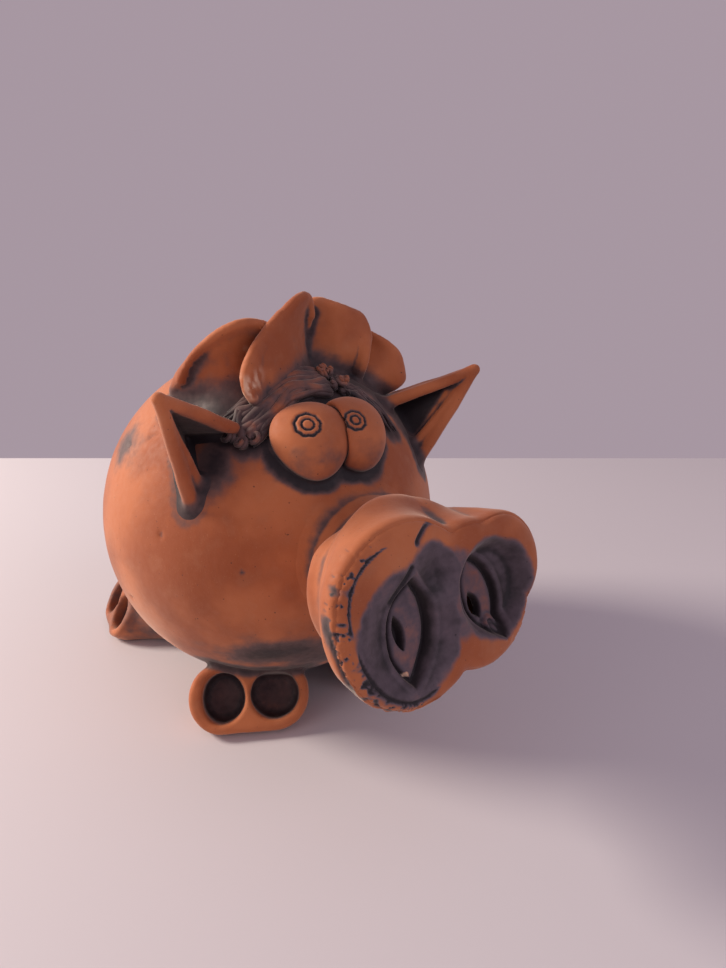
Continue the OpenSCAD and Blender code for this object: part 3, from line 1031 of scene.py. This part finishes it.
def finished(material, tree, inputs):
    """The material, with a Principled shader of those inputs on its output."""
    shader = node(tree, "BsdfPrincipled", inputs)
    tree.links.new(shader.outputs[0], node(tree, "OutputMaterial").inputs[0])
    return material


def uneven(tree, spot, gain, base, clamp=False):
    """A value made larger and smaller by noise round its middle."""
    return math_node(tree, "MULTIPLY_ADD", math_node(tree, "SUBTRACT", spot, 0.5), gain, base, clamp)


def clay_material(name, violet=0.0):
    """Unglazed terracotta with a dark patina rubbed on, plus painted shade and pale painted highlights, as
    its patina_and_shade and painted_highlight marks say.
    """
    material, tree = bare_material(name)
    place = node(tree, "TexCoord").outputs["Object"]
    broad = spots(tree, place, 26)
    cloud = spots(tree, place, 6.5, 4.0)
    mottle = spots(tree, place, 1.9, 4.0)
    grain = spots(tree, place, 0.45, 2.0)
    strokes = spots(tree, place, 5.0, 3.0, (0.25, 0.25, 1.6))
    marks = node(tree, "Attribute", attribute_name="patina_and_shade").outputs["Fac"]
    painted_highlight = node(tree, "Attribute", attribute_name="painted_highlight").outputs["Fac"]

    clay = mix(tree, ramp(tree, broad, 0.38, 0.62), CLAY_LIGHT, CLAY_DEEP)
    clay = mix(tree, math_node(tree, "MULTIPLY", ramp(tree, cloud, 0.48, 0.72), 0.15), clay, CLAY_DUSTY)
    clay = mix(tree, math_node(tree, "MULTIPLY", ramp(tree, grain, 0.62, 0.78), 0.30), clay, CLAY_DUSTY)

    # the patina, with the painted shade it carries, is thicker in hollows, and is rubbed off unevenly
    rubbed = uneven(tree, cloud, 0.55, marks)
    rubbed = uneven(tree, mottle, 0.22, rubbed)
    rubbed = uneven(tree, strokes, 0.25, rubbed)
    # painted highlights take the patina off and turn pale
    rubbed = math_node(tree, "SUBTRACT", rubbed, math_node(tree, "MULTIPLY", painted_highlight, 0.8))
    thin = ramp(tree, rubbed, 0.12, 0.62)
    thick = ramp(tree, rubbed, 0.45, 1.0)
    thin_colour = lerp(np.array(PATINA_AND_SHADE_THIN), np.array(PATINA_AND_SHADE_VIOLET), violet)
    colour = mix(tree, thin, clay, tuple(thin_colour))
    colour = mix(tree, thick, colour, PATINA_AND_SHADE_BLACK)
    pits = math_node(tree, "MULTIPLY", ramp(tree, spots(tree, place, 1.1, 1.0), 0.74, 0.80), 0.6)
    colour = mix(tree, pits, colour, PATINA_AND_SHADE_BLACK)
    colour = mix(tree, math_node(tree, "MULTIPLY", painted_highlight, 0.75), colour, HIGHLIGHT_PAINT)

    rough = math_node(tree, "MULTIPLY_ADD", thin, -0.10, 0.70)
    rough = uneven(tree, mottle, 0.35, rough, clamp=True)
    height = math_node(tree, "MULTIPLY_ADD", grain, 0.35, math_node(tree, "MULTIPLY", mottle, 0.8))
    height = math_node(tree, "SUBTRACT", height, math_node(tree, "MULTIPLY", pits, 1.2))
    bump = node(tree, "Bump", {"Height": height, "Strength": 0.30, "Distance": 0.00022})
    return finished(material, tree, {
        "Base Color": colour, "Roughness": rough, "Normal": bump.outputs[0], "Specular IOR Level": 0.32,
        "Sheen Weight": 0.30, "Sheen Roughness": 0.45, "Sheen Tint": (1.0, 0.86, 0.76, 1)})


def rubber_material():
    material, tree = bare_material("bung_rubber")
    place = node(tree, "TexCoord").outputs["Object"]
    cloud = spots(tree, place, 5.0, 4.0)
    grain = spots(tree, place, 0.35, 2.0)
    dust = ramp(tree, math_node(tree, "MULTIPLY_ADD", grain, 0.4, cloud), 0.62, 0.95)
    colour = mix(tree, dust, RUBBER, RUBBER_DUST)
    rough = math_node(tree, "MULTIPLY_ADD", cloud, 0.4, 0.35, clamp=True)
    bump = node(tree, "Bump", {"Height": grain, "Strength": 0.2, "Distance": 0.0001})
    return finished(material, tree, {
        "Base Color": colour, "Roughness": rough, "Normal": bump.outputs[0], "Specular IOR Level": 0.5})


# ---------------- patina and painted shade
# Dark patches on the ball away from the joints, three low at the front, one low at the back
# and three on top: azimuth, elevation, radius in degrees across and up, strength.
DARK_PATCHES_AND_PAINTED_LIGHT = [(-30, -30, 24, 9, 0.95), (-6, -36, 22, 10, 0.9), (30, -30, 24, 9, 0.8), (180, -32, 40, 9, 0.6),
          (-30, 58, 24, 7, 1.0), (0, 64, 30, 8, 1.0), (26, 58, 20, 8, 1.0)]
# In front of each ear a painted shadow of the ear lies between the ear's low and high corners.
for low, high in (corners[1:3] for corners in EARS.values()):
    DARK_PATCHES_AND_PAINTED_LIGHT.append(((low[0] + high[0]) / 2, (low[1] + high[1]) / 2, 8, 12, 0.9))
# Behind the right ear a thin patch is a painted bluish sheen, an ear's width from the back corner.
EAR_WIDTH = 30
DARK_PATCHES_AND_PAINTED_LIGHT.append((EARS["right_ear"][-1][0] - EAR_WIDTH, EARS["right_ear"][-1][1] - 10, 12, 10, 0.6))
# How far a part's patina and painted shade spread over the ball round its joint, and how strong they are.
SPREAD = {"bonnet_frill": (5.0, 1.05), "right_ear": (1.4, 0.4), "left_ear": (2.4, 0.85),
          "right_eye": (2.2, 1.05), "left_eye": (2.4, 1.05), "right_fringe": (3.0, 0.9),
          "left_fringe": (3.0, 0.9), "curly_tail": (3.4, 0.9), **{hoof: (4.0, 1.0) for hoof in HOOVES}}
# How far up a part its root's patina and painted shade fade out, and how strong they are, where it isn't as
# usual.
ROOT_FADE = {"bonnet_frill": 5.5, "right_ear": 2.6, "left_ear": 3.0, "snout_horn": 2.0,
             "right_eye": 1.6, "left_eye": 1.6}
ROOT_STRENGTH = {"snout_horn": 0.05}
USUAL_FADE = 2.2
USUAL_STRENGTH = 0.85
ROOT_TREES = {}     # part's name: tree of the places where it meets the ball


def ball_patina_and_shade(verts, but=None):
    """Patina, painted shade and a painted sheen on the ball's skin at places on it: round every luted part
    but one, and in the dark patches.
    """
    q = unit(verts - CENTRE)
    az, el = np.degrees(np.arctan2(q[:, 0], -q[:, 1])), np.degrees(np.arcsin(q[:, 2]))
    patina_and_shade = np.zeros(len(verts))
    for part, (width, strength) in SPREAD.items():
        if part == but:
            continue
        near, _ = cloud_distance(root_tree(part), verts)
        near = near * (1 + 0.35 * fbm(verts, 7, 2, 77))
        patina_and_shade = np.maximum(patina_and_shade, strength * hump(np.maximum(near - 0.8, 0), width))
    for a, e, wide, high, strength in DARK_PATCHES_AND_PAINTED_LIGHT:
        across = ((az - a + 180) % 360 - 180) * np.cos(np.radians(el))
        far = np.hypot(across / wide, (el - e) / high) * (1 + 0.3 * fbm(verts, 10, 3, 78))
        patina_and_shade = np.maximum(patina_and_shade, strength * np.exp(-far ** 2 * 1.4))
    return patina_and_shade


def root_tree(part):
    """The places where a part meets the ball."""
    if part not in ROOT_TREES:
        points = PIECES[part][0]
        height = ball_field(points)
        ROOT_TREES[part] = cloud_tree(points[(height > -0.2) & (height < 3)][::3])
    return ROOT_TREES[part]


def body_patina_and_shade(verts):
    patina_and_shade = ball_patina_and_shade(verts)
    past = np.maximum(np.abs(verts[:, 1] - CENTRE[1] - SLOT_Y) - SLOT_LEN / 2, 0)
    slot = np.hypot(verts[:, 0] - CENTRE[0], past)
    lip = hump(np.maximum(slot - SLOT_W / 2, 0), 1.8) * (verts[:, 2] > CENTRE[2])
    patina_and_shade = np.maximum(patina_and_shade, np.maximum(0.75 * lip, 0.8 * skin_marks(verts)))
    inner = ball_field(verts) < -2.0
    return np.where(inner, 0.75, patina_and_shade)


def part_patina_and_shade(name, verts, faces, marks):
    """Patina and painted shade of a luted part: dark at its root and in its hollows."""
    height = ball_field(verts)
    fade, strength = ROOT_FADE.get(name, USUAL_FADE), ROOT_STRENGTH.get(name, USUAL_STRENGTH)
    root = hump(np.maximum(height, 0), fade) * strength
    deep = np.clip(hollows(verts, faces, 10) * 2.2 / FINE, 0, 0.8)
    patina_and_shade = np.maximum(root, deep)
    low = height < 2.5
    skin = ball_patina_and_shade(verts[low], name) * (1 - step01(height[low], 0.5, 2.5))
    patina_and_shade[low] = np.maximum(patina_and_shade[low], skin)
    return np.clip(patina_and_shade + marks, 0, 1)


def face_patina(verts):
    """Black-violet in the two dishes, thinner on the nostril floors, bare clay on the lips."""
    x, y, _ = face_place(verts)
    ragged = 1.3 * fbm(verts, 5, 3, 26)
    patina_and_shade = np.zeros(len(verts))
    for nostril in (RIGHT_NOSTRIL, LEFT_NOSTRIL):
        patina_and_shade = np.maximum(patina_and_shade, 0.66 * step01(inside_dish(x, y, nostril["dish"]) + ragged, -1.6, 1.6))
        own = inside_lens(x, y, nostril["almond"])
        patina_and_shade = patina_and_shade - 0.12 * step01(own, 1.2, 3.0)
        patina_and_shade = patina_and_shade + 0.5 * hump(own - 0.8, 0.7)
        patina_and_shade = patina_and_shade + 0.6 * step01(inside_lens(x, y, nostril["slit"]), -0.6, 0.4)
    patina_and_shade = patina_and_shade + 0.7 * hump(off_fold(x, y), 1.0)
    patina_and_shade = patina_and_shade + 0.5 * hump(off_line(x, y, *LID_LINE), 0.7)
    bridge = 0.5 * step01(radius_in(x, y, BRIDGE_DISC) + ragged, -2.0, 2.0)
    return np.clip(np.maximum(patina_and_shade, bridge), 0, 1)


def ear_patina(name, verts):
    """The pocket of an ear is black, its rims and outside are bare."""
    tip, low, high, back = ear_corners(name)
    mouth = unit(np.cross(low - tip, high - tip))
    inward = mouth * np.sign((back - tip) @ mouth)
    depth = (verts - tip) @ inward
    middle = (tip + low + high) / 3
    # the pocket is the space between the ear's two sheets
    a = unit(np.cross(low - tip, back - tip))
    b = unit(np.cross(high - tip, back - tip))
    a = a * np.sign((middle - tip) @ a)
    b = b * np.sign((middle - tip) @ b)
    inside = np.minimum((verts - tip) @ a, (verts - tip) @ b)
    return step01(inside, 0.0, 1.0) * step01(depth, 0.6, 2.0)


# ---------------- making it all
shape_body()
marks = {"snout_horn": shape_horn()}
marks["snout_face"] = shape_face()
for eye in EYES:
    marks[eye] = shape_eye(eye)
for ear in EARS:
    shape_ear(ear)
shape_frill()
shape_hair()
for hoof in HOOVES:
    shape_hoof(hoof)
shape_tail()

clay = clay_material("clay")
face_clay = clay_material("dark_patina", violet=0.8)
hair_clay = clay_material("hair_clay")
SLOTS = {"snout_face": ("dark_patina", face_clay), "right_fringe": ("hair_clay", hair_clay),
         "left_fringe": ("hair_clay", hair_clay), "forelock_knot": ("hair_clay", hair_clay)}

for name, (verts, faces) in PIECES.items():
    slot, material = SLOTS.get(name, ("clay", clay))
    painted_highlight = np.zeros(len(verts))
    if name == "body_shell":
        patina_and_shade = body_patina_and_shade(verts)
    elif name == "snout_face":
        # the face's hollows are darker too: patina, with painted shade in them
        patina_and_shade = face_patina(verts) + np.clip(hollows(verts, faces, 6) * 2.0, 0, 0.3) + marks[name]
        x, y, _ = face_place(verts)
        # a pale fleck painted where a white glint shows: a painted highlight
        painted_highlight = 1 - step01(np.hypot(x - GLINT_AT[0], (y - GLINT_AT[1]) / 0.7), 0.6, 1.0)
    elif slot == "hair_clay":
        patina_and_shade = np.clip(1.2 - 0.2 * ball_field(verts) + 0.25 * noise(verts, 4, 79), 0.35, 1.0)
    else:
        patina_and_shade = part_patina_and_shade(name, verts, faces, marks.get(name, 0.0))
    if name in EARS:
        patina_and_shade = np.maximum(patina_and_shade, ear_patina(name, verts))
    if name in HOOVES:
        along, up, out = hoof_place(name, verts)
        hole = np.minimum(*toe_holes(name, (along, up)))
        patina_and_shade = np.maximum(patina_and_shade, 0.62 * step01(-out, 1.0, 6.0) * (hole < 0.6))
        if name.startswith("rear"):
            patina_and_shade = np.maximum(patina_and_shade, 0.34 + 0.2 * noise(verts, 9, 83))
    if name == "bonnet_frill":
        # the frill's torn corner, where the light catches it, gets pale painted highlights
        painted_highlight = torn_corner(verts) * step01(noise(verts * [1, 1, 0.5], 1.2, 53), 0.0, 0.5)
    make_object(name, verts, faces, material, slot=slot, marks={"patina_and_shade": patina_and_shade, "painted_highlight": painted_highlight})

verts, faces = shape_bung()
make_object("belly_bung", verts, faces, rubber_material(), body="bung", slot="bung_rubber")


# ---------------- stage
CAMERA_FROM_BALL = (-122.0, -217.8, 97.7)
CAMERA_PITCH = 19.5      # degrees down
CAMERA_YAW = 37.0        # degrees from +Y towards +X
FOCAL_SHARE = 0.751      # focal length over the long side of the image
EDGE_FROM_BALL = 257.0   # from the ball to the back edge of the table, away from the camera


def plain_material(name, colour, rough):
    material = bpy.data.materials.new(name)
    material.use_nodes = True
    shader = material.node_tree.nodes["Principled BSDF"]
    shader.inputs["Base Color"].default_value = (*colour, 1)
    shader.inputs["Roughness"].default_value = rough
    return material


def stage_sheet(name, corners, material):
    mesh = bpy.data.meshes.new(name)
    mesh.from_pydata(corners, [], [(0, 1, 2, 3)])
    mesh.materials.append(material)
    sheet = bpy.data.objects.new(name, mesh)
    bpy.context.scene.collection.objects.link(sheet)


def soft_light(name, place, aim, size, power, colour):
    lamp = bpy.data.lights.new(name, "AREA")
    lamp.shape = "DISK"
    lamp.size = size
    lamp.energy = power
    lamp.color = colour
    holder = bpy.data.objects.new(name, lamp)
    holder.location = place
    holder.rotation_euler = (Vector(aim) - Vector(place)).to_track_quat("-Z", "Y").to_euler()
    bpy.context.scene.collection.objects.link(holder)


# The table's back edge lies across the camera's view, behind the pig.
forward = np.array([math.sin(math.radians(CAMERA_YAW)), math.cos(math.radians(CAMERA_YAW)), 0])
across = np.array([forward[1], -forward[0], 0])
back_edge = EDGE_FROM_BALL * MM
corners = [CENTRE * [1, 1, 0] * MM + a * across + f * forward for a, f in (
    (-3, -3), (3, -3), (3, back_edge), (-3, back_edge))]
stage_sheet("floor", [tuple(c) for c in corners], plain_material("floor", (0.58, 0.55, 0.58), 0.7))

middle = tuple(CENTRE * MM)
soft_light("key", (-0.58, 0.55, 0.50), middle, 0.28, 10.5, (1.0, 0.88, 0.76))
soft_light("fill", (0.25, -0.80, 0.55), middle, 0.9, 1.8, (0.90, 0.88, 1.0))
soft_light("side", (-0.9, -0.15, 0.45), middle, 0.6, 1.3, (1.0, 0.90, 0.84))

world = bpy.data.worlds.new("world")
world.use_nodes = True
background = world.node_tree.nodes["Background"]
background.inputs["Color"].default_value = (0.43, 0.345, 0.40, 1)
background.inputs["Strength"].default_value = 0.9
bpy.context.scene.world = world
bpy.context.scene.view_settings.view_transform = "Standard"

# ---------------- camera
camera = bpy.data.cameras.new("camera")
camera.sensor_width = 36
camera.lens = 36 * FOCAL_SHARE
camera.clip_start = 0.01
holder = bpy.data.objects.new("camera", camera)
holder.location = (CENTRE + np.array(CAMERA_FROM_BALL)) * MM
holder.rotation_euler = (math.radians(90 - CAMERA_PITCH), 0, -math.radians(CAMERA_YAW))
bpy.context.scene.collection.objects.link(holder)
bpy.context.scene.camera = holder
